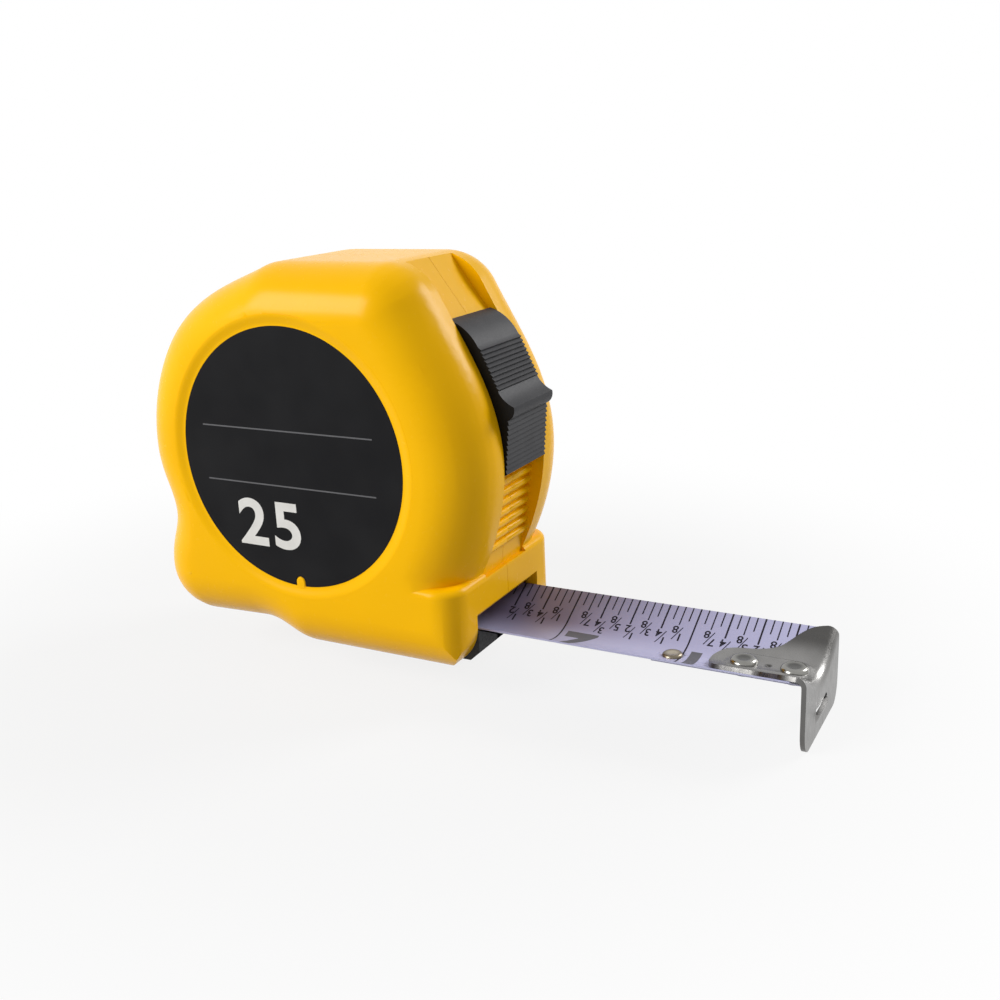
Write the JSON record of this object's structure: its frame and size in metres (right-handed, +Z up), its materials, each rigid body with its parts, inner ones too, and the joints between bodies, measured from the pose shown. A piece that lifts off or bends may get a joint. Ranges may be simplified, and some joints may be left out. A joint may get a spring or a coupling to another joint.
{
  "type": "pocket tape measure",
  "caption": "Pocket tape measure with a rounded two-part case, thumb slide lock, curved steel blade with a riveted end hook, and a belt clip.",
  "frame": {"origin": "on the case's flat base, on the middle plane between the two case halves, straight under the reel's axis", "axes": "+X forward along the blade, +Y across towards the belt clip side, +Z up from the base"},
  "size_m": [0.1362, 0.0477, 0.0824],
  "materials": {
    "case": "glossy moulded yellow",
    "label": "matte black",
    "lock": "charcoal, fine grain",
    "bumper": "matte black rubber",
    "blade": "satin enamel, printed scale",
    "hook": "nickel plated, brushed",
    "rivet": "polished",
    "spring_steel": "blued spring steel",
    "reel": "natural white",
    "clip": "bright plated",
    "screws": "black zinc"
  },
  "bodies": {
    "case": {"case_left": "case", "case_right": "case", "label_disc": "label", "mouth_bumper": "bumper", "centre_post": "hook", "side_washers": "spring_steel", "detent_spring": "spring_steel", "belt_clip": "clip", "belt_clip_screw": "clip", "case_screws": "screws", "blade_lead": "blade"},
    "drum": {"reel_hub": "reel", "reel_cover": "reel", "power_spring": "spring_steel", "blade_coil": "blade"},
    "blade": {"blade_strip": "blade", "backing_plate": "hook", "hook_rivets": "rivet", "stiffener_rivet": "rivet"},
    "hook": {"end_hook": "hook"},
    "lock": {"lock_button": "lock", "brake_arm": "lock"}
  },
  "joints": [
    {"name": "drum_spin", "type": "hinge", "parent": "case", "child": "drum", "pos_m": [0, 0, 0.0405], "axis": [0, 1, 0], "range_deg": [0, 115.5]},
    {"name": "blade_slide", "type": "slide", "parent": "case", "child": "blade", "axis": [1, 0, 0], "range_m": [-0.0595, 0], "deforming": ["blade_strip", "blade_lead"]},
    {"name": "hook_play", "type": "slide", "parent": "blade", "child": "hook", "axis": [1, 0, 0], "range_m": [-0.0009, 0]},
    {"name": "lock_travel", "type": "hinge", "parent": "case", "child": "lock", "pos_m": [-0.005, 0, 0.0415], "axis": [0, -1, 0], "range_deg": [0, 8]}
  ],
  "couplings": [
    {"joint": "blade_slide", "follows": "drum_spin", "m_per_rad": -0.0295}
  ]
}
